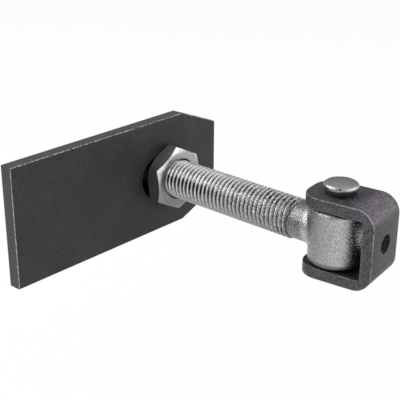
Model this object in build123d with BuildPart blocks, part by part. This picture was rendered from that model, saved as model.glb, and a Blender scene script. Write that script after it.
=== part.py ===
from build123d import *
import os
from math import cos, radians, tan

# An adjustable gate hinge: a slotted plate that is welded to the gate post, an eye bolt held
# in the slot by two thin nuts, and a U-bent strap that turns on a pin through the bolt's eye.
# Millimetres. The origin is the middle of the plate's weld end. +X runs along the plate to its
# nose, the eye bolt points along -Y, and +Z is up, along the hinge pin.

# Mounting plate
plate_length = 136.0
plate_height = 60.0
plate_thickness = 7.0
nose_length = 25.5
nose_drop = 10.3
plate_edge_round = 0.5

# Slot in the plate: the bolt's play in height, and how far it can shift either way
slot_clearance = 1.0
bolt_travel = 7.5
slot_centre_from_nose = 37.0

# Eye bolt: M20 x 2.5 with a plain neck, lying low in the slot
thread_diameter = 20.0
thread_tip_chamfer = 1.8
thread_run_out = 0.8
neck_diameter = 18.4
neck_length = 8.0
neck_fillet = 2.8
bolt_seat_gap = 0.1
eye_to_plate = 107.0
tip_past_nut = 4.0
eye_wall = 7.4
eye_height = 27.0
eye_edge_bevel = 1.2

# Thin hexagon nuts, the same in front and behind, tightened a few degrees past upright flats
nut_wall = 5.0
nut_turn = 3.0
nut_height = 9.0
nut_corner_bevel = 3.0
nut_bevel_angle = 30.0
nut_countersink = 0.8
nut_thread_gap = 0.05

# Washer that bridges the slot behind the plate
washer_width = 8.0
washer_thickness = 3.0
washer_clearance = 0.5

# Hinge pin, riveted over below the lower leg
pin_diameter = 12.0
pin_head_overhang = 2.0
pin_head_height = 5.0
pin_head_bevel = 0.6
rivet_overhang = 2.0
rivet_rim = 0.8
rivet_bevel = 1.8
rivet_flat_diameter = 9.0
pin_eye_clearance = 0.08
pin_leg_clearance = 0.03

# U-bracket, bent from flat strap
strap_width = 26.0
strap_thickness = 5.5
strap_edge_bevel = 0.4
leg_side_play = 0.5
eye_to_web = 4.2
leg_end_from_pin = 14.5
leg_end_flat = 6.0
bend_outer_radius = 9.0
bend_inner_radius = 2.0
web_hole_diameter = 9.0
web_hole_rise = 0.6
swing_at_rest = 6.8

# Sizes that follow from the ones above
thread_radius = thread_diameter / 2
slot_width = thread_diameter + 2 * slot_clearance
slot_length = slot_width + 2 * bolt_travel
eye_radius = pin_diameter / 2 + pin_eye_clearance + eye_wall
nut_across_flats = thread_diameter + 2 * nut_wall
web_from_pin = eye_radius + eye_to_web + strap_thickness
leg_inner_height = eye_height / 2 + leg_side_play
leg_outer_height = leg_inner_height + strap_thickness
leg_corner_radius = (strap_width - leg_end_flat) / 2

# Where the pieces stand
bolt_x = plate_length - slot_centre_from_nose
bolt_z = bolt_seat_gap - slot_clearance
plate_front = -plate_thickness / 2
plate_back = plate_thickness / 2
washer_back = plate_back + washer_thickness
pin_y = plate_front - eye_to_plate
bolt_tip = washer_back + nut_height + tip_past_nut

# Frames. The bolt's axis is level, and the pin's is upright. The web's side of the bracket
# is turned by swing_at_rest from straight ahead of the bolt.
pin_centre = Vector(bolt_x, pin_y, bolt_z)
to_web = Vector(0, -1, 0).rotate(Axis.Z, swing_at_rest)
across_strap = Vector(1, 0, 0).rotate(Axis.Z, swing_at_rest)
bolt_axis = Axis(pin_centre, (0, 1, 0))
pin_axis = Axis(pin_centre, (0, 0, 1))
pin_plan = Plane(pin_centre)
pin_section = Plane(pin_centre, x_dir=(1, 0, 0), z_dir=(0, -1, 0))
bolt_section = Plane((bolt_x, 0, bolt_z), x_dir=(1, 0, 0), z_dir=(0, -1, 0))
strap_section = Plane(pin_centre, x_dir=to_web, z_dir=-across_strap)
web_face = Plane(pin_centre + to_web * web_from_pin, x_dir=across_strap, z_dir=to_web)


# Mounting plate: flat bar with its nose corners cut back, and one slot for the bolt
with BuildPart() as mounting_plate:
    with BuildSketch(Plane.XZ.offset(plate_front)):
        with BuildLine():
            Polyline(
                (0, -plate_height / 2),
                (plate_length - nose_length, -plate_height / 2),
                (plate_length, nose_drop - plate_height / 2),
                (plate_length, plate_height / 2 - nose_drop),
                (plate_length - nose_length, plate_height / 2),
                (0, plate_height / 2),
                close=True,
            )
        make_face()
        with Locations((bolt_x, 0)):
            SlotOverall(slot_length, slot_width, mode=Mode.SUBTRACT)
    extrude(amount=plate_thickness)
    outline = [face.outer_wire().edges() for face in mounting_plate.faces().filter_by(Axis.Y)]
    fillet(outline[0] + outline[1], plate_edge_round)

# Eye bolt: turned shank and neck, with an upright barrel forged onto the end
with BuildPart() as eye_bolt:
    with BuildSketch(pin_plan):
        with BuildLine():
            Polyline(
                (0, 0),
                (neck_diameter / 2, 0),
                (neck_diameter / 2, eye_radius + neck_length),
                (thread_radius, eye_radius + neck_length + thread_run_out),
                (thread_radius, bolt_tip - pin_y - thread_tip_chamfer),
                (thread_radius - thread_tip_chamfer, bolt_tip - pin_y),
                (0, bolt_tip - pin_y),
                close=True,
            )
        make_face()
    revolve(axis=bolt_axis)
    with BuildSketch(pin_plan.offset(-eye_height / 2)):
        Circle(eye_radius)
    extrude(amount=eye_height)
    rims = eye_bolt.edges().filter_by(GeomType.CIRCLE)
    chamfer(rims.group_by(Axis.Z)[0] + rims.group_by(Axis.Z)[-1], eye_edge_bevel)
    neck_joint = eye_bolt.edges().filter_by(GeomType.BSPLINE)
    fillet(neck_joint, neck_fillet)
    with Locations(pin_plan.offset(eye_height / 2)):
        Hole(pin_diameter / 2 + pin_eye_clearance)

# Front nut: hexagon with its flats nearly upright left and right, both faces bevelled
with BuildPart() as front_nut:
    with BuildSketch(bolt_section.offset(-plate_front)):
        RegularPolygon(nut_across_flats / 2, 6, major_radius=False, rotation=30 + nut_turn)
    extrude(amount=nut_height)
    with BuildSketch(Plane(bolt_section.origin, x_dir=(1, 0, 0), z_dir=(0, 0, 1))):
        corner_radius = nut_across_flats / 2 / cos(radians(30))
        face_radius = corner_radius - nut_corner_bevel
        bevel_depth = nut_corner_bevel * tan(radians(nut_bevel_angle))
        with BuildLine():
            Polyline(
                (0, plate_front),
                (face_radius, plate_front),
                (corner_radius, plate_front - bevel_depth),
                (corner_radius, plate_front - nut_height + bevel_depth),
                (face_radius, plate_front - nut_height),
                (0, plate_front - nut_height),
                close=True,
            )
        make_face()
    revolve(axis=bolt_axis, mode=Mode.INTERSECT)
    with Locations(bolt_section.offset(nut_height - plate_front)):
        Hole(thread_radius + nut_thread_gap)
    bore_rims = front_nut.edges().filter_by(GeomType.CIRCLE).group_by(SortBy.RADIUS)[0]
    chamfer(bore_rims, nut_countersink)

# Rear nut: the same nut, facing the other way behind the washer
with BuildPart() as rear_nut:
    mirror(front_nut.part, about=Plane.XZ.offset(-(plate_front + washer_back) / 2))

# Washer behind the plate
with BuildPart() as rear_washer:
    with BuildSketch(bolt_section.offset(-plate_back)):
        Circle(thread_radius + washer_clearance + washer_width)
        Circle(thread_radius + washer_clearance, mode=Mode.SUBTRACT)
    extrude(amount=-washer_thickness)

# Hinge bracket: strap bent into a U, legs above and below the eye, web out in front
with BuildPart() as hinge_bracket:
    with BuildSketch(strap_section):
        with BuildLine():
            Polyline(
                (-leg_end_from_pin, leg_outer_height),
                (web_from_pin, leg_outer_height),
                (web_from_pin, -leg_outer_height),
                (-leg_end_from_pin, -leg_outer_height),
                (-leg_end_from_pin, -leg_inner_height),
                (web_from_pin - strap_thickness, -leg_inner_height),
                (web_from_pin - strap_thickness, leg_inner_height),
                (-leg_end_from_pin, leg_inner_height),
                close=True,
            )
        make_face()
    extrude(amount=strap_width / 2, both=True)
    along_bends = Axis(pin_centre, across_strap)
    along_legs = Axis(pin_centre, to_web)
    bends = hinge_bracket.edges().filter_by(along_bends).group_by(along_legs)
    fillet(bends[-2], bend_inner_radius)
    bends = hinge_bracket.edges().filter_by(along_bends).group_by(along_legs)
    fillet(bends[-1], bend_outer_radius)
    leg_corners = hinge_bracket.edges().filter_by(Axis.Z).group_by(along_legs)[0]
    fillet(leg_corners, leg_corner_radius)
    strap_sides = hinge_bracket.faces().filter_by(along_bends)
    strap_edges = strap_sides.edges().filter_by(Axis.Z, reverse=True)
    chamfer(strap_edges, strap_edge_bevel)
    with Locations(pin_plan.offset(leg_outer_height)):
        Hole(pin_diameter / 2 + pin_leg_clearance)
    with Locations(web_face):
        with Locations((0, web_hole_rise)):
            Hole(web_hole_diameter / 2, depth=web_from_pin)

# Hinge pin: flat bevelled head above, lower end closed over the leg like a rivet
with BuildPart() as hinge_pin:
    with BuildSketch(pin_section):
        pin_radius = pin_diameter / 2
        head_radius = pin_radius + pin_head_overhang
        head_top = leg_outer_height + pin_head_height
        rivet_radius = pin_radius + rivet_overhang
        rivet_edge = -leg_outer_height - rivet_rim
        with BuildLine():
            Polyline(
                (0, rivet_edge - rivet_bevel),
                (0, head_top),
                (head_radius - pin_head_bevel, head_top),
                (head_radius, head_top - pin_head_bevel),
                (head_radius, leg_outer_height),
                (pin_radius, leg_outer_height),
                (pin_radius, -leg_outer_height),
                (rivet_radius, -leg_outer_height),
                (rivet_radius, rivet_edge),
                (rivet_flat_diameter / 2, rivet_edge - rivet_bevel),
                close=True,
            )
        make_face()
    revolve(axis=pin_axis)

pieces = {
    "mounting_plate": mounting_plate,
    "eye_bolt": eye_bolt,
    "front_nut": front_nut,
    "rear_nut": rear_nut,
    "rear_washer": rear_washer,
    "hinge_bracket": hinge_bracket,
    "hinge_pin": hinge_pin,
}
os.makedirs("parts", exist_ok=True)
for name, piece in pieces.items():
    piece.part.label = name
    export_step(piece.part, f"parts/{name}.step")
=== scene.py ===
import bmesh
import bpy
import math
from mathutils import Matrix, Vector


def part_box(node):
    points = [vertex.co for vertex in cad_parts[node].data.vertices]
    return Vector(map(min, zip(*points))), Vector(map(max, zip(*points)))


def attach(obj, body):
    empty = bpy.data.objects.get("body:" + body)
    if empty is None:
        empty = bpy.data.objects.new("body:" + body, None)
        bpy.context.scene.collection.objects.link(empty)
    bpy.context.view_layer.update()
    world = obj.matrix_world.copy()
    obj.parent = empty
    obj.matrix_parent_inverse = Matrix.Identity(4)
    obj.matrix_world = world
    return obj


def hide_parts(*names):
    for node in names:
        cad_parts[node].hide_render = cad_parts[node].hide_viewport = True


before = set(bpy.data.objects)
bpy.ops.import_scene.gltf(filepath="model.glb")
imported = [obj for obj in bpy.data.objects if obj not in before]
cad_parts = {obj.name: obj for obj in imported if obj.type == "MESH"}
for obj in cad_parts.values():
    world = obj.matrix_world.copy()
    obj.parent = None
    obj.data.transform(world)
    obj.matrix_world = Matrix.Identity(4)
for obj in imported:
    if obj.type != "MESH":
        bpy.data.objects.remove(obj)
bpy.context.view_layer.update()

# Sizes in metres
mm = 0.001
pitch = 2.5 * mm
thread_crest = 9.94 * mm
thread_root = 8.5 * mm
thread_phase = 0.9 * mm
neck_radius = 9.2 * mm
neck_length = 8.0 * mm
tip_chamfer = 1.8 * mm
nut_across_flats = 30 * mm
nut_face_radius = 14.32 * mm
nut_corner_ease = 0.12 * mm
nut_countersink_radius = 10.85 * mm
nut_bore_radius = 8.72 * mm
nut_turn = 3
thread_play = 0.06 * mm
seat_gap = 0.02 * mm
washer_bore_radius = 10.5 * mm
washer_edge_ease = 0.35 * mm
plate_half_thickness = 3.5 * mm
strap_width = 26 * mm
strap_thickness = 5.5 * mm
strap_edge_ease = 0.4 * mm
web_from_pin = 23.18 * mm
leg_end_from_pin = 14.5 * mm
leg_corner_radius = 10 * mm
leg_outer_height = 19.5 * mm
bend_outer_radius = 9 * mm
bend_inner_radius = 2 * mm
web_hole_radius = 4.5 * mm
web_hole_rise = 0.6 * mm
pin_hole_radius = 6.03 * mm
pin_radius = 6 * mm
pin_head_radius = 8 * mm
swing_at_rest = math.radians(6.8)

# Sizes that follow from the ones above
inner_web = web_from_pin - strap_thickness
inner_height = leg_outer_height - strap_thickness

# Places taken from the solids
bolt_low, bolt_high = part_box("eye_bolt")
bolt_x = (bolt_low.x + bolt_high.x) / 2
bolt_z = (bolt_low.z + bolt_high.z) / 2
eye_radius = (bolt_high.x - bolt_low.x) / 2
pin_y = bolt_low.y + eye_radius
thread_start = pin_y + eye_radius + neck_length
thread_length = bolt_high.y - thread_start
pin_low, pin_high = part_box("hinge_pin")
pin_centre = Vector((bolt_x, pin_y, bolt_z))

# Directions of the strap
up = Vector((0, 0, 1))
to_web = Vector((math.sin(swing_at_rest), -math.cos(swing_at_rest), 0))
across_strap = Vector((math.cos(swing_at_rest), math.sin(swing_at_rest), 0))

# Spots and directions of marks, and of painted light and shade, on the surfaces
# Centre of the sheen painted on the strap's upper bend
sheen_centre = pin_centre + to_web * 20 * mm + up * 17 * mm
# Where the nick in the pin's rim lies; its shade is painted dark
rim_nick = pin_centre + Vector((-6.7, -3.85, 23.9)) * mm
# Centre of the shadow painted on the plate's front face, under the nut
shadow_spot = Vector((bolt_x - 14 * mm, -plate_half_thickness, -24 * mm))
# Directions of the highlight painted along the thread's upper front
highlight_toward = Vector((-0.75, 0, 0.66))
highlight_across = Vector((0.66, 0, 0.75))
# Direction of the side of the eye's barrel that carries painted shade
side_shade_way = Vector((-0.67, 0.74, 0))

# The object's middle, which the lights face
middle = Vector((0.08, -0.06, 0))

# Points of a mesh that are closer than this are one
same_spot = 0.002 * mm


def add_object(name, data):
    """Puts a new object into the scene."""
    made = bpy.data.objects.new(name, data)
    bpy.context.scene.collection.objects.link(made)
    return made


def mesh_from(name, data):
    """Turns a bmesh into a mesh."""
    mesh = bpy.data.meshes.new(name)
    data.to_mesh(mesh)
    data.free()
    return mesh


def smooth(mesh, sharp_degrees):
    """Shades a mesh smooth but for its sharp edges."""
    mesh.shade_smooth()
    mesh.set_sharp_from_angle(angle=math.radians(sharp_degrees))


def object_from(name, data, material, sharp_degrees=32):
    """Wraps a bmesh in an object with one material, smooth but for its sharp edges."""
    mesh = mesh_from(name, data)
    mesh.materials.append(material)
    smooth(mesh, sharp_degrees)
    return add_object(name, mesh)


def apply_modifiers(item):
    """Replaces an object's mesh by what its modifiers make of it."""
    graph = bpy.context.evaluated_depsgraph_get()
    result = bpy.data.meshes.new_from_object(item.evaluated_get(graph))
    item.modifiers.clear()
    item.data = result


def frame_at(place, x_way, y_way, z_way):
    """The matrix of a frame at a place, from its three directions."""
    return Matrix.Translation(place) @ Matrix((x_way, y_way, z_way)).transposed().to_4x4()


def prism(name, outline, place, depth):
    """A closed solid from an outline in place's X and Y, reaching depth / 2 either way along its Z."""
    data = bmesh.new()
    lower = [data.verts.new(place @ Vector((x, y, -depth / 2))) for x, y in outline]
    upper = [data.verts.new(place @ Vector((x, y, depth / 2))) for x, y in outline]
    count = len(outline)
    data.faces.new(list(reversed(lower)))
    data.faces.new(upper)
    for i in range(count):
        j = (i + 1) % count
        data.faces.new((lower[i], lower[j], upper[j], upper[i]))
    bmesh.ops.recalc_face_normals(data, faces=data.faces)
    return add_object(name, mesh_from(name, data))


def cut(item, tool, operation):
    """Joins tool to item by a boolean, and removes tool."""
    change = item.modifiers.new("cut", "BOOLEAN")
    change.operation = operation
    change.solver = "EXACT"
    change.object = tool
    bpy.context.view_layer.update()
    apply_modifiers(item)
    bpy.data.objects.remove(tool)


def close_holes(data):
    """Fills every open loop of a bmesh."""
    bmesh.ops.holes_fill(data, edges=[edge for edge in data.edges if edge.is_boundary], sides=0)


def cut_past(data, y):
    """Takes off what lies past a place along the bolt, and closes the cut."""
    whole = data.verts[:] + data.edges[:] + data.faces[:]
    place = Vector((bolt_x, y, bolt_z))
    bmesh.ops.bisect_plane(data, geom=whole, plane_co=place, plane_no=(0, 1, 0), clear_outer=True)
    close_holes(data)


def arc(centre_x, centre_y, radius, start, end, steps):
    """Points on an arc, its ends included, with angles in degrees."""
    points = []
    for i in range(steps + 1):
        angle = math.radians(start + (end - start) * i / steps)
        points.append((centre_x + radius * math.cos(angle), centre_y + radius * math.sin(angle)))
    return points


def circle(centre_y, radius):
    """Points round a circle, its middle centre_y up the outline's Y."""
    return arc(0, centre_y, radius, 0, 360, 64)[:-1]


def mirrored(points):
    """An outline's other half, from the last point back to the first."""
    return [(x, -y) for x, y in reversed(points)]


def round_bolt(radius, angle, y):
    """A point at a radius and angle round the bolt's axis."""
    return Vector((radius * math.sin(angle) + bolt_x, y, radius * math.cos(angle) + bolt_z))


def turned(name, profile, place, material):
    """A solid of revolution: (radius, height) pairs turned about place's Z."""
    segments = 128
    data = bmesh.new()
    rings = []
    for radius, height in profile:
        if radius == 0:
            rings.append([data.verts.new(place @ Vector((0, 0, height)))])
            continue
        ring = []
        for i in range(segments):
            angle = 2 * math.pi * i / segments
            spot = Vector((radius * math.cos(angle), radius * math.sin(angle), height))
            ring.append(data.verts.new(place @ spot))
        rings.append(ring)
    for a, b in zip(rings, rings[1:]):
        for i in range(segments):
            j = (i + 1) % segments
            if len(a) == 1:
                data.faces.new((a[0], b[i], b[j]))
            elif len(b) == 1:
                data.faces.new((a[j], a[i], b[0]))
            else:
                data.faces.new((a[j], a[i], b[i], b[j]))
    bmesh.ops.recalc_face_normals(data, faces=data.faces)
    return object_from(name, data, material)


# One turn of the thread: share of the pitch from the crest's middle, and radius
turn_profile = [
    (-0.44, 8.53 * mm),
    (-0.39, 8.62 * mm),
    (-0.345, 8.78 * mm),
    (-0.1, 9.83 * mm),
    (-0.05, 9.92 * mm),
    (0.0, thread_crest),
    (0.05, 9.92 * mm),
    (0.1, 9.83 * mm),
    (0.345, 8.78 * mm),
    (0.39, 8.62 * mm),
    (0.44, 8.53 * mm),
    (0.5, thread_root),
]


def add_helix(data, start, length, segments, radius_at, outward):
    """Adds a threaded wall along the bolt's axis, in phase with its thread. start is the
    wall's distance from the thread's first turn, and radius_at trims each point's radius."""
    per_turn = len(turn_profile)
    first = math.floor(start / pitch) - 1
    turns = math.ceil(length / pitch) + 3
    rows = []
    for row in range(turns * per_turn + per_turn + 1):
        share, radius = turn_profile[row % per_turn]
        rows.append(((first + row // per_turn + share) * pitch + thread_phase, radius))
    grid = {}
    for i in range(segments):
        angle = 2 * math.pi * i / segments
        for j, (along, radius) in enumerate(rows):
            free = along + pitch * i / segments
            held = min(max(free, start), start + length)
            spot = round_bolt(radius_at(held, radius), angle, thread_start + held)
            grid[i, j] = (data.verts.new(spot), free)
    for i in range(segments):
        # The last column meets the first one turn further on
        after, shift = (i + 1, 0) if i + 1 < segments else (0, per_turn)
        for j in range(turns * per_turn):
            corners = [grid[i, j], grid[after, j + shift], grid[after, j + shift + 1], grid[i, j + 1]]
            frees = [free for _, free in corners]
            if max(frees) <= start or min(frees) >= start + length:
                continue
            wall = [vertex for vertex, _ in corners]
            data.faces.new(wall if outward else list(reversed(wall)))
    loose = [vertex for vertex in data.verts if not vertex.link_faces]
    bmesh.ops.delete(data, geom=loose, context="VERTS")


def bolt_thread_radius(along, radius):
    """The bolt's thread, faded out at the neck and chamfered at the tip."""
    fade_slope = 0.7
    radius = min(radius, neck_radius + along)
    radius = max(radius, neck_radius - fade_slope * along)
    return min(radius, thread_crest - tip_chamfer + (thread_length - along))


def make_thread(material):
    """The bolt's thread, from the neck to the tip."""
    data = bmesh.new()
    add_helix(data, 0, thread_length, 96, bolt_thread_radius, True)
    bmesh.ops.remove_doubles(data, verts=data.verts, dist=same_spot)
    close_holes(data)
    return object_from("bolt_thread", data, material, 60)


def make_nut(name, node, material, flat_material):
    """A hexagon nut with bevelled faces and an inner thread that meets the bolt's."""
    low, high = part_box(node)
    near, far = low.y + seat_gap, high.y - seat_gap
    start = near - thread_start
    length = far - near
    segments = 120
    side_degrees = 60
    bevel_slope = math.tan(math.radians(30))
    widest = nut_across_flats / 2 / math.cos(math.radians(side_degrees / 2)) - nut_corner_ease
    data = bmesh.new()

    def inner_radius(along, radius):
        """The bolt's thread with some play, opened out at both faces."""
        radius = max(radius + thread_play, nut_bore_radius)
        from_face = min(along - start, start + length - along)
        return max(radius, nut_countersink_radius - from_face)

    add_helix(data, start, length, segments, inner_radius, False)
    rings = []
    for i in range(segments):
        angle = 2 * math.pi * i / segments - math.radians(nut_turn)
        from_flat = math.radians(i * 360 / segments % side_degrees - side_degrees / 2)
        corner = min(nut_across_flats / 2 / math.cos(from_flat), widest)
        inset = (corner - nut_face_radius) * bevel_slope
        # Half of the nut's section, as radius and depth from the face
        section = [
            (nut_countersink_radius, 0),
            (nut_face_radius - 0.25 * mm, 0),
            (nut_face_radius + 0.1 * mm, 0.09 * mm),
            (corner - 0.15 * mm, inset),
            (corner, inset + 0.2 * mm),
        ]
        around = [(radius, near + depth) for radius, depth in section]
        around += [(radius, far - depth) for radius, depth in reversed(section)]
        rings.append([data.verts.new(round_bolt(radius, angle, y)) for radius, y in around])
    flat_wall = len(section) - 1
    for i in range(segments):
        a, b = rings[i], rings[(i + 1) % segments]
        for k in range(len(a) - 1):
            wall = data.faces.new((a[k], b[k], b[k + 1], a[k + 1]))
            wall.material_index = 1 if k == flat_wall else 0
    bmesh.ops.remove_doubles(data, verts=data.verts, dist=same_spot)
    bmesh.ops.recalc_face_normals(data, faces=data.faces)
    nut = object_from(name, data, material, 20)
    nut.data.materials.append(flat_material)
    return nut


def make_eye(material):
    """The barrel and neck, softened as a forging is, and cut off where the thread starts."""
    data = bmesh.new()
    data.from_mesh(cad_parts["eye_bolt"].data)
    bmesh.ops.remove_doubles(data, verts=data.verts, dist=same_spot / 2)
    cut_past(data, thread_start + 4 * mm)
    eye = object_from("eye_forging", data, material)
    even = eye.modifiers.new("even", "REMESH")
    even.mode = "VOXEL"
    even.voxel_size = 0.35 * mm
    soft = eye.modifiers.new("soft", "SMOOTH")
    soft.factor = 0.5
    soft.iterations = 5
    apply_modifiers(eye)
    data = bmesh.new()
    data.from_mesh(eye.data)
    cut_past(data, thread_start + seat_gap)
    data.to_mesh(eye.data)
    data.free()
    smooth(eye.data, 60)
    return eye


def make_bracket(material, edge_material):
    """The bent strap: its side profile, trimmed to rounded leg ends, drilled, edges eased."""
    side = frame_at(pin_centre, to_web, up, across_strap)
    plan = frame_at(pin_centre, to_web, across_strap, up)
    web_face = frame_at(pin_centre + to_web * web_from_pin, across_strap, up, to_web)
    spare = 2 * mm
    through = 60 * mm
    web_drill = 20 * mm
    end = -leg_end_from_pin - spare
    bend = bend_outer_radius
    outer = [(end, leg_outer_height)]
    outer += arc(web_from_pin - bend, leg_outer_height - bend, bend, 90, 0, 24)
    bend = bend_inner_radius
    inner = arc(inner_web - bend, inner_height - bend, bend, 0, 90, 10)
    inner.append((end, inner_height))
    outline = outer + mirrored(outer) + mirrored(inner) + inner
    strap = prism("bracket_strap", outline, side, strap_width + 2 * spare)
    half = strap_width / 2
    reach = web_from_pin + spare
    corner = -leg_end_from_pin + leg_corner_radius
    rounded = arc(corner, half - leg_corner_radius, leg_corner_radius, 90, 180, 20)
    trim = rounded + mirrored(rounded) + [(reach, -half), (reach, half)]
    cut(strap, prism("trim", trim, plan, through), "INTERSECT")
    cut(strap, prism("drill", circle(0, pin_hole_radius), plan, through), "DIFFERENCE")
    strap.data.materials.clear()
    strap.data.materials.append(material)
    strap.data.materials.append(edge_material)
    eased = strap.modifiers.new("eased", "BEVEL")
    eased.width = strap_edge_ease
    eased.segments = 3
    eased.limit_method = "ANGLE"
    eased.angle_limit = math.radians(40)
    eased.material = 1
    apply_modifiers(strap)
    drill = prism("drill", circle(web_hole_rise, web_hole_radius), web_face, web_drill)
    cut(strap, drill, "DIFFERENCE")
    smooth(strap.data, 35)
    return strap


def make_pin(material):
    """The pin: bevelled head, plain shank and closed-over lower end."""
    head, top = pin_head_radius, pin_high.z
    seat, foot = bolt_z + leg_outer_height, bolt_z - leg_outer_height
    profile = [
        (0, top),
        (head - 1.1 * mm, top),
        (head - 0.9 * mm, top - 0.04 * mm),
        (head - 0.3 * mm, top - 0.55 * mm),
        (head - 0.08 * mm, top - 0.95 * mm),
        (head, top - 1.5 * mm),
        (head - 0.2 * mm, top - 2.6 * mm),
        (head - 0.75 * mm, seat + 1.2 * mm),
        (head - 1.2 * mm, seat + 0.35 * mm),
        (head - 1.5 * mm, seat),
        (pin_radius, seat),
        (pin_radius, foot),
        (head - 0.1 * mm, foot),
        (head, foot - 0.3 * mm),
        (head - 0.5 * mm, foot - 1.1 * mm),
        (5.2 * mm, pin_low.z + 0.15 * mm),
        (3.6 * mm, pin_low.z),
        (0, pin_low.z),
    ]
    return turned("pin_turned", profile, Matrix.Translation((bolt_x, pin_y, 0)), material)


def make_washer(material):
    """The washer behind the plate, its stamped edges a little rounded."""
    low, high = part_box("rear_washer")
    inner, outer = washer_bore_radius, (high.x - low.x) / 2
    thick = high.y - low.y - 2 * seat_gap
    ease = washer_edge_ease
    near = [(inner, ease), (inner + ease, 0), (outer - ease, 0), (outer, ease)]
    far = [(radius, thick - height) for radius, height in reversed(near)]
    turn = Matrix.Rotation(-math.pi / 2, 4, "X")
    place = Matrix.Translation((bolt_x, low.y + seat_gap, bolt_z)) @ turn
    return turned("washer_stamped", near + far + near[:1], place, material)


class Nodes:
    """Short calls for building a node material, whose shader gets one constant trait. Places
    are in metres, as at rest."""

    def __init__(self, name, trait, amount):
        self.material = bpy.data.materials.new(name)
        self.material.use_nodes = True
        self.tree = self.material.node_tree
        self.shader = self.tree.nodes["Principled BSDF"]
        self.shader.inputs[trait].default_value = amount
        self.place = self.tree.nodes.new("ShaderNodeTexCoord").outputs["Object"]

    def link(self, a, b):
        """Wires an output to an input."""
        self.tree.links.new(a, b)

    def noise(self, scale, detail=4.0, roughness=0.55):
        """Soft patches, around 1 / scale metres apart."""
        node = self.tree.nodes.new("ShaderNodeTexNoise")
        node.inputs["Scale"].default_value = scale
        node.inputs["Detail"].default_value = detail
        node.inputs["Roughness"].default_value = roughness
        self.link(self.place, node.inputs["Vector"])
        return node.outputs["Fac"]

    def ramp(self, value, low, high, low_out=0.0, high_out=1.0):
        """A value brought from low..high to low_out..high_out, and held there."""
        node = self.tree.nodes.new("ShaderNodeMapRange")
        node.inputs["From Min"].default_value = low
        node.inputs["From Max"].default_value = high
        node.inputs["To Min"].default_value = low_out
        node.inputs["To Max"].default_value = high_out
        self.link(value, node.inputs["Value"])
        return node.outputs["Result"]

    def span(self, share, low, high):
        """Spreads a share of 0 to 1 over low to high."""
        return self.ramp(share, 0, 1, low, high)

    def mix(self, share, a, b):
        """Colour a where share is 0 and b where it is 1."""
        node = self.tree.nodes.new("ShaderNodeMix")
        node.data_type = "RGBA"
        for socket, value in (("A", a), ("B", b)):
            target = [s for s in node.inputs if s.name == socket and s.type == "RGBA"][0]
            if isinstance(value, tuple):
                target.default_value = (*value, 1.0)
            else:
                self.link(value, target)
        self.link(share, node.inputs["Factor"])
        return [s for s in node.outputs if s.type == "RGBA"][0]

    def lay(self, base, colour, mask, strength):
        """A base with a colour laid over it, by strength where the mask is 1, not at all at 0."""
        return self.mix(self.times(mask, strength), base, colour)

    def math(self, kind, a, b):
        """One operation on two sockets or numbers."""
        node = self.tree.nodes.new("ShaderNodeMath")
        node.operation = kind
        for index, value in enumerate((a, b)):
            if isinstance(value, (int, float)):
                node.inputs[index].default_value = value
            else:
                self.link(value, node.inputs[index])
        return node.outputs[0]

    def times(self, a, b):
        """One value times another."""
        return self.math("MULTIPLY", a, b)

    def most(self, a, b):
        """The greater of two values."""
        return self.math("MAXIMUM", a, b)

    def absolute(self, value):
        """A value without its sign."""
        return self.math("ABSOLUTE", value, 0)

    def axis(self, index):
        """The X, Y or Z of the place."""
        node = self.tree.nodes.new("ShaderNodeSeparateXYZ")
        self.link(self.place, node.inputs[0])
        return node.outputs[index]

    def vector(self, kind, source, other=(0, 0, 0)):
        """A vector node that takes a socket and a constant vector."""
        node = self.tree.nodes.new("ShaderNodeVectorMath")
        node.operation = kind
        node.inputs[1].default_value = other
        self.link(source, node.inputs[0])
        return node

    def distance(self, spot):
        """Distance from a point."""
        return self.vector("DISTANCE", self.place, spot).outputs["Value"]

    def along(self, way):
        """How far a point lies from the middle of the pin, measured one way."""
        shift = self.vector("SUBTRACT", self.place, pin_centre)
        return self.vector("DOT_PRODUCT", shift.outputs[0], way).outputs["Value"]

    def radius(self):
        """Distance from the bolt's axis."""
        shift = self.vector("SUBTRACT", self.place, (bolt_x, 0, bolt_z))
        flat = self.vector("MULTIPLY", shift.outputs[0], (1, 0, 1))
        return self.vector("LENGTH", flat.outputs[0]).outputs["Value"]

    def surface(self, colour, roughness, relief, depth, strength):
        """Puts colour, roughness and a fine relief on the shader, and gives the material."""
        node = self.tree.nodes.new("ShaderNodeBump")
        node.inputs["Strength"].default_value = strength
        node.inputs["Distance"].default_value = depth
        self.link(relief, node.inputs["Height"])
        self.link(node.outputs["Normal"], self.shader.inputs["Normal"])
        self.link(colour, self.shader.inputs["Base Color"])
        self.link(roughness, self.shader.inputs["Roughness"])
        return self.material


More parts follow.
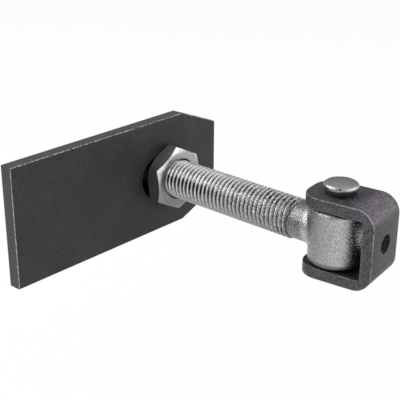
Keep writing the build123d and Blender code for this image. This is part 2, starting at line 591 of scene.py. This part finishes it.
def plate_material():
    """Dark mill scale on the faces with a painted shadow under the nut, paler sheared sides, edges
    between them that are bright from wear and from a painted highlight, and painted shade in the slot.
    """
    n = Nodes("plate_mill_scale", "Specular IOR Level", 0.3)
    blotch = n.ramp(n.noise(60, 5), 0.3, 0.7)
    grain = n.ramp(n.noise(1100, 2, 0.6), 0.3, 0.7)
    cloud = n.ramp(n.noise(32, 3, 0.6), 0.42, 0.6)
    # Painted shadow of the nut and bolt on the plate's front face, darkest under the nut
    painted_shadow = n.ramp(n.distance(shadow_spot), 42 * mm, 8 * mm)
    face = n.mix(grain, (0.004, 0.003, 0.0045), (0.046, 0.04, 0.047))
    face = n.lay(face, (0.034, 0.031, 0.035), blotch, 0.3)
    face = n.lay(face, (0.01, 0.009, 0.0105), cloud, 0.5)
    face = n.lay(face, (0.006, 0.005, 0.007), painted_shadow, 0.5)
    # Painted shade on the walls of the slot, where no light reaches
    slot_shade = n.ramp(n.radius(), 22 * mm, 21 * mm)
    side = n.mix(grain, (0.014, 0.014, 0.016), (0.085, 0.085, 0.088))
    side = n.mix(slot_shade, side, (0.01, 0.01, 0.01))
    # Edges bright from wear and from a painted highlight, more so at the plate's end
    end_wear_and_highlight = n.ramp(n.axis(0), 1.5 * mm, 1 * mm, 0.0, 0.5)
    wear_and_highlight = n.most(n.ramp(n.noise(1100, 3), 0.44, 0.54), end_wear_and_highlight)
    edge = n.mix(wear_and_highlight, (0.06, 0.06, 0.06), (0.46, 0.46, 0.45))
    edge = n.mix(slot_shade, edge, (0.02, 0.02, 0.02))
    depth = n.absolute(n.axis(1))
    past_side = n.ramp(depth, plate_half_thickness - 0.38 * mm, plate_half_thickness - 0.28 * mm)
    on_face = n.ramp(depth, plate_half_thickness - 0.08 * mm, plate_half_thickness - 0.01 * mm)
    colour = n.mix(on_face, n.mix(past_side, side, edge), face)
    return n.surface(colour, n.span(grain, 0.45, 0.6), grain, 0.06 * mm, 0.6)


def strap_colours(n):
    """Mill scale with a painted sheen over the upper bend and a painted highlight on the bend, lighter
    on the sheared sides, dark on the web under the bend, and painted shade within the U.
    Gives the colour, its grain and the mask of the painted shade within the U."""
    blotch = n.ramp(n.noise(90, 5), 0.3, 0.7)
    grain = n.ramp(n.noise(900, 2, 0.6), 0.36, 0.64)
    streak = n.ramp(n.noise(160, 4, 0.7), 0.42, 0.62)
    height = n.along(up)
    ahead = n.along(to_web)
    base = n.mix(grain, (0.002, 0.001, 0.003), (0.074, 0.063, 0.078))
    base = n.lay(base, (0.05, 0.043, 0.053), blotch, 0.25)
    # Painted sheen over the upper bend
    bend_sheen = n.times(n.ramp(n.distance(sheen_centre), 14 * mm, 5 * mm), streak)
    base = n.lay(base, (0.105, 0.092, 0.112), bend_sheen, 0.5)
    # Painted highlight on the bend
    bend = n.math("MINIMUM", n.ramp(ahead, 11 * mm, 17 * mm), n.ramp(height, 11.5 * mm, 15 * mm))
    base = n.lay(base, n.mix(grain, (0.06, 0.055, 0.063), (0.19, 0.173, 0.196)), bend, 0.8)
    web = n.times(n.ramp(height, 14.5 * mm, 10 * mm), n.ramp(ahead, 22.2 * mm, 22.9 * mm))
    base = n.lay(base, n.mix(grain, (0.001, 0.001, 0.002), (0.024, 0.02, 0.026)), web, 0.9)
    sheared = n.ramp(n.absolute(n.along(across_strap)), 12.8 * mm, 12.95 * mm)
    base = n.lay(base, n.mix(grain, (0.028, 0.025, 0.03), (0.105, 0.094, 0.11)), sheared, 0.7)
    # Painted shade on the faces within the U, between the legs
    between_legs = n.ramp(n.absolute(height), inner_height + 0.4 * mm, inner_height + 0.1 * mm)
    inside_shade = n.times(between_legs, n.ramp(ahead, inner_web + 0.4 * mm, inner_web))
    return n.lay(base, (0.008, 0.008, 0.008), inside_shade, 0.8), grain, inside_shade


def strap_material():
    """The strap's faces and sheared sides."""
    n = Nodes("strap_steel", "Specular IOR Level", 0.45)
    base, grain, _ = strap_colours(n)
    return n.surface(base, n.span(grain, 0.34, 0.55), grain, 0.2 * mm, 0.9)


def strap_edge_material():
    """The strap's eased edges, bright from wear outside and less so along the legs, with a painted
    highlight that is strongest round the upper bend, and kept dark in the painted shade within the U.
    """
    n = Nodes("strap_edge_wear_and_highlight", "Specular IOR Level", 0.6)
    base, grain, inside_shade = strap_colours(n)
    # Wear and painted highlight along the edges
    wear_and_highlight = n.ramp(n.noise(420, 4, 0.6), 0.4, 0.6, 0.05, 0.55)
    wear_and_highlight = n.times(wear_and_highlight, n.ramp(n.along(to_web), 6 * mm, 12 * mm, 0.6, 1.0))
    # Painted highlight on the edges round the upper bend
    wear_and_highlight = n.most(wear_and_highlight, n.ramp(n.distance(sheen_centre), 15 * mm, 11 * mm))
    wear_and_highlight = n.times(wear_and_highlight, n.span(inside_shade, 1.0, 0.0))
    colour = n.mix(wear_and_highlight, base, (0.42, 0.41, 0.41))
    return n.surface(colour, n.span(grain, 0.3, 0.42), grain, 0.05 * mm, 0.5)


def thread_material():
    """Zinc, lighter on the crests and darker down the flanks as painted highlight and shade, with
    painted shade in the roots and over the lower side, and thicker near the eye.
    A painted highlight lies along the upper front, with painted shade in the roots on either side of
    it."""
    n = Nodes("thread_zinc", "Metallic", 1.0)
    y = n.axis(1)
    z = n.axis(2)
    radius = n.radius()
    grain = n.ramp(n.noise(1000, 3), 0.3, 0.7)
    speck = n.ramp(n.noise(1500, 2, 0.7), 0.4, 0.6)
    # Lighter crests and darker flanks: painted highlight and painted shade of the ridges
    crest = n.mix(grain, (0.62, 0.62, 0.63), (0.92, 0.93, 0.94))
    flank = n.mix(grain, (0.18, 0.18, 0.185), (0.46, 0.46, 0.47))
    colour = n.mix(n.ramp(radius, 9.4 * mm, 9.85 * mm), flank, crest)
    coated = n.ramp(y, -30 * mm, -75 * mm)
    colour = n.lay(colour, n.mix(speck, (0.14, 0.14, 0.145), (0.88, 0.88, 0.89)), coated, 0.75)
    # Painted shade over the lower side
    lower_shade = n.ramp(z, 1 * mm, -7 * mm)
    colour = n.lay(colour, n.mix(grain, (0.16, 0.16, 0.16), (0.36, 0.36, 0.36)), lower_shade, 0.75)

    # Painted highlight along the upper front, with ragged borders
    ragged = n.ramp(n.noise(420, 2, 0.7), 0.3, 0.7, -1.2 * mm, 1.2 * mm)
    aside = n.math("ADD", n.along(highlight_across), ragged)
    highlight_run = n.ramp(n.absolute(aside), 2 * mm, 0.8 * mm)
    highlight_run = n.times(highlight_run, n.ramp(n.along(highlight_toward), 2 * mm, 5 * mm))
    colour = n.lay(colour, n.mix(speck, (0.3, 0.3, 0.31), (0.92, 0.92, 0.93)), highlight_run, 0.6)

    # Painted shade in the roots: weaker in the painted highlight band and where zinc fills them near
    # the eye
    root_shade = n.ramp(n.noise(330, 3, 0.7), 0.42, 0.58, 0.5, 1.0)
    root_shade = n.times(root_shade, n.ramp(radius, 9.1 * mm, 8.65 * mm))
    root_shade = n.times(root_shade, n.span(highlight_run, 1.0, 0.35))
    filled = n.times(n.ramp(aside, 0, -3 * mm), n.ramp(y, -45 * mm, -75 * mm))
    root_shade = n.times(root_shade, n.span(filled, 1.0, 0.8))

    # Painted shade in the roots reaching wider: in patches towards the eye, and under the painted
    # highlight band near the nut
    above = n.times(n.ramp(aside, 1.5 * mm, 3 * mm), n.ramp(y, -40 * mm, -70 * mm))
    low = n.times(n.ramp(z, -2.5 * mm, -4.5 * mm), n.ramp(y, -78 * mm, -83 * mm))
    wider_root_shade = n.times(n.most(above, low), n.ramp(n.noise(500, 3, 0.7), 0.42, 0.54))
    root_shade = n.most(root_shade, n.times(wider_root_shade, n.ramp(radius, 9.5 * mm, 9.2 * mm)))
    under_run = n.times(n.ramp(aside, -1.5 * mm, -2.5 * mm), n.ramp(aside, -8 * mm, -5 * mm))
    under_run_shade = n.times(under_run, n.ramp(y, -55 * mm, -35 * mm))
    root_shade = n.most(root_shade, n.times(under_run_shade, n.ramp(radius, 9.5 * mm, 9 * mm)))

    # Painted shade all over within the plate's slot, and in the last groove before the neck
    root_shade = n.most(root_shade, n.ramp(n.absolute(y), 4.2 * mm, 3.6 * mm))
    colour = n.mix(root_shade, colour, (0.03, 0.03, 0.03))
    past_neck = n.ramp(y, thread_start + 0.1 * mm, thread_start + 0.5 * mm)
    before_turn = n.ramp(y, thread_start + 1.6 * mm, thread_start + 1.1 * mm)
    last_groove_shade = n.times(n.times(past_neck, before_turn), n.ramp(z, 7.5 * mm, 5.5 * mm))
    colour = n.lay(colour, (0.03, 0.03, 0.03), last_groove_shade, 0.9)

    rough = n.math("ADD", n.span(grain, 0.18, 0.3), n.times(coated, 0.06))
    relief = n.times(speck, n.span(coated, 0.2, 1.0))
    return n.surface(colour, rough, relief, 0.2 * mm, 0.7)


def nut_material():
    """Zinc on the nuts' faces and on the washer, with a painted highlight on the nuts' outer bevels,
    stronger on top, and painted shade over the lower side.
    """
    n = Nodes("nut_zinc", "Metallic", 1.0)
    grain = n.ramp(n.noise(1100, 4, 0.65), 0.3, 0.7)
    blotch = n.ramp(n.noise(250), 0.3, 0.7)
    base = n.mix(grain, (0.22, 0.22, 0.23), (0.44, 0.44, 0.45))
    base = n.lay(base, (0.38, 0.38, 0.39), blotch, 0.5)
    # Painted highlight on the outer bevels, stronger towards the top
    ragged = n.ramp(n.noise(700, 3, 0.7), 0.3, 0.7, -0.6 * mm, 0.6 * mm)
    bevel = n.ramp(n.math("ADD", n.radius(), ragged), 14.4 * mm, 15.6 * mm)
    bevel = n.times(bevel, n.ramp(n.absolute(n.axis(1)), 7 * mm, 8 * mm))
    bevel_highlight_share = n.ramp(n.axis(2), -3 * mm, 3 * mm, 0.2, 0.6)
    base = n.lay(base, (0.76, 0.76, 0.77), bevel, bevel_highlight_share)
    # Painted shade over the lower side
    lower_shade = n.ramp(n.axis(2), 4 * mm, -12 * mm)
    colour = n.lay(base, (0.15, 0.145, 0.15), lower_shade, 0.75)
    return n.surface(colour, n.span(blotch, 0.25, 0.36), grain, 0.1 * mm, 0.8)


def nut_flat_material():
    """The nuts' flats, dull and dark, with a painted highlight on the upper ones."""
    n = Nodes("nut_flats_dull", "Metallic", 0.35)
    grain = n.ramp(n.noise(1000, 3, 0.6), 0.32, 0.68)
    blotch = n.ramp(n.noise(180), 0.3, 0.7)
    base = n.mix(grain, (0.02, 0.018, 0.02), (0.13, 0.12, 0.13))
    base = n.lay(base, (0.12, 0.11, 0.12), blotch, 0.4)
    # Painted highlight on the upper flats
    upper = n.ramp(n.axis(2), 6 * mm, 10 * mm)
    colour = n.lay(base, (0.19, 0.18, 0.19), upper, 0.7)
    return n.surface(colour, n.span(grain, 0.4, 0.55), grain, 0.06 * mm, 0.6)


def eye_material():
    """Grainy zinc on the barrel with painted shade on one side, duller on the neck, and round the rims
    rougher, with painted shade.
    """
    n = Nodes("eye_zinc_grain", "Metallic", 1.0)
    y = n.axis(1)
    grain = n.ramp(n.noise(2000, 2, 0.6), 0.32, 0.68)
    blotch = n.ramp(n.noise(200), 0.3, 0.7)
    base = n.mix(grain, (0.2, 0.198, 0.204), (0.71, 0.703, 0.725))
    base = n.lay(base, (0.49, 0.487, 0.5), blotch, 0.25)
    # Painted shade on the back-left side of the barrel
    side_shade = n.ramp(n.along(side_shade_way), 3 * mm, 13 * mm)
    on_barrel = n.ramp(y, pin_y + 12 * mm, pin_y + 10 * mm, 0.0, 0.6)
    base = n.lay(base, (0.16, 0.16, 0.16), side_shade, on_barrel)
    neck = n.ramp(y, pin_y + eye_radius - 1 * mm, pin_y + eye_radius + 2.5 * mm)
    base = n.mix(neck, base, n.mix(grain, (0.06, 0.06, 0.06), (0.36, 0.357, 0.37)))
    # Painted shade round the rims, next to the strap's legs, with a rougher finish
    rim = n.ramp(n.absolute(n.axis(2)), 11.2 * mm, 12.3 * mm)
    colour = n.mix(rim, base, n.mix(grain, (0.05, 0.05, 0.05), (0.3, 0.3, 0.3)))
    rough = n.most(n.span(grain, 0.2, 0.32), n.span(rim, 0, 0.4))
    return n.surface(colour, rough, grain, 0.12 * mm, 0.8)


def pin_material():
    """Plain steel with painted shade on the head's side under its bevel, and one nick in its rim
    painted dark as its shade.
    """
    n = Nodes("pin_steel", "Metallic", 1.0)
    z = n.axis(2)
    grain = n.ramp(n.noise(1200, 4, 0.65), 0.3, 0.7)
    blotch = n.ramp(n.noise(250), 0.3, 0.7)
    base = n.mix(grain, (0.28, 0.28, 0.28), (0.54, 0.54, 0.54))
    base = n.lay(base, (0.4, 0.4, 0.4), blotch, 0.3)
    # Painted shade on the head's side under its bevel
    side = n.ramp(z, pin_high.z - 1.1 * mm, pin_high.z - 2.2 * mm)
    base = n.lay(base, (0.12, 0.12, 0.12), side, 0.6)
    # A nick in the rim, its shade painted dark
    nick = n.ramp(n.distance(rim_nick), 0.65 * mm, 0.3 * mm)
    colour = n.mix(nick, base, (0.02, 0.02, 0.02))
    bevel = n.ramp(z, pin_high.z - 0.02 * mm, pin_high.z - 0.3 * mm)
    rough = n.math("ADD", n.span(blotch, 0.14, 0.22), n.times(bevel, 0.13))
    return n.surface(colour, rough, grain, 0.06 * mm, 0.6)


def floor_material():
    """Pale floor that keeps the object's shadow, and reads white to the camera and in the metal."""
    material = bpy.data.materials.new("floor_white")
    material.use_nodes = True
    nodes, links = material.node_tree.nodes, material.node_tree.links
    nodes.clear()
    matte = nodes.new("ShaderNodeBsdfDiffuse")
    matte.inputs["Color"].default_value = (0.85, 0.85, 0.85, 1)
    white = nodes.new("ShaderNodeEmission")
    white.inputs["Color"].default_value = (1, 1, 1, 1)
    rays = nodes.new("ShaderNodeLightPath")
    share = nodes.new("ShaderNodeMath")
    share.operation = "MAXIMUM"
    for index, (kind, amount) in enumerate((("Is Camera Ray", 0.9), ("Is Glossy Ray", 0.45))):
        part = nodes.new("ShaderNodeMath")
        part.operation = "MULTIPLY"
        part.inputs[1].default_value = amount
        links.new(rays.outputs[kind], part.inputs[0])
        links.new(part.outputs[0], share.inputs[index])
    mixed = nodes.new("ShaderNodeMixShader")
    for index, source in enumerate((share, matte, white)):
        links.new(source.outputs[0], mixed.inputs[index])
    out = nodes.new("ShaderNodeOutputMaterial")
    links.new(mixed.outputs[0], out.inputs["Surface"])
    return material


def add_light(name, way, distance, size, power):
    """A soft rectangular light that faces the object's middle from some distance off."""
    data = bpy.data.lights.new(name, "AREA")
    data.shape = "RECTANGLE"
    data.size, data.size_y = size
    data.energy = power
    offset = Vector(way) * distance
    lamp = add_object(name, data)
    lamp.location = middle + offset
    lamp.rotation_mode = "QUATERNION"
    lamp.rotation_quaternion = (-offset).to_track_quat("-Z", "Y")


# Camera at the photograph's place and angle
yaw = math.radians(48.044)
dip = math.radians(22.807)
roll = math.radians(-0.27)
forward = Vector((math.sin(yaw) * math.cos(dip), math.cos(yaw) * math.cos(dip), -math.sin(dip)))
level = Vector((math.cos(yaw), -math.sin(yaw), 0))
down = forward.cross(level)
right = math.cos(roll) * level + math.sin(roll) * down
upright = math.sin(roll) * level - math.cos(roll) * down
camera_place = Vector((-0.22531, -0.31828, 0.17427))
camera_data = bpy.data.cameras.new("camera")
camera_data.sensor_width = 36
camera_data.lens = 83.21
camera_data.shift_x = -0.00125
camera_data.shift_y = 0.00125
camera = add_object("camera", camera_data)
camera.matrix_world = frame_at(camera_place, right, upright, -forward)
bpy.context.scene.camera = camera

# Pieces
thread = make_thread(thread_material())
zinc = nut_material()
dull = nut_flat_material()
front_nut = make_nut("nut_front", "front_nut", zinc, dull)
rear_nut = make_nut("nut_rear", "rear_nut", zinc, dull)
washer = make_washer(zinc)
eye = make_eye(eye_material())
bracket = make_bracket(strap_material(), strap_edge_material())
pin = make_pin(pin_material())
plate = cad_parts["mounting_plate"]
plate.data.materials.clear()
plate.data.materials.append(plate_material())

for piece, body, node, slot in (
    (thread, "bolt", "eye_bolt", "zinc_bolt"),
    (eye, "bolt", "eye_bolt", "zinc_bolt"),
    (front_nut, "near_nut", "front_nut", "zinc_nut"),
    (rear_nut, "back_nut", "rear_nut", "zinc_nut"),
    (washer, "washer", "rear_washer", "zinc_nut"),
    (bracket, "bracket", "hinge_bracket", "black_strap_steel"),
    (pin, "bracket", "hinge_pin", "pin_steel"),
):
    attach(piece, body)
    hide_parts(node)

# Floor, below every pose and wide enough to fill the picture
floor_z = -0.12
floor_reach = 8
quarters = ((-1, -1), (1, -1), (1, 1), (-1, 1))
floor_corners = [(x * floor_reach, y * floor_reach, floor_z) for x, y in quarters]
floor_mesh = bpy.data.meshes.new("floor")
floor_mesh.from_pydata(floor_corners, [], [(0, 1, 2, 3)])
floor_mesh.materials.append(floor_material())
floor = add_object("floor", floor_mesh)

# The studio is dim round the horizon and light overhead
world = bpy.data.worlds.new("studio")
world.use_nodes = True
world_nodes, world_links = world.node_tree.nodes, world.node_tree.links
sky = world_nodes.new("ShaderNodeTexCoord")
rise = world_nodes.new("ShaderNodeSeparateXYZ")
glow = world_nodes.new("ShaderNodeMapRange")
glow.inputs["From Min"].default_value = 0.25
glow.inputs["From Max"].default_value = 0.7
glow.inputs["To Min"].default_value = 0.28
glow.inputs["To Max"].default_value = 0.75
world_links.new(sky.outputs["Generated"], rise.inputs[0])
world_links.new(rise.outputs["Z"], glow.inputs["Value"])
world_links.new(glow.outputs["Result"], world_nodes["Background"].inputs["Strength"])
world_nodes["Background"].inputs["Color"].default_value = (1, 1, 1, 1)
bpy.context.scene.world = world

# Lights
add_light("back_left", (-0.434, 0.617, 0.656), 1.1, (0.85, 0.75), 8)
add_light("front", (0.35, -0.88, 0.31), 1.2, (2.4, 0.9), 11.5)
bpy.context.scene.view_settings.view_transform = "Standard"
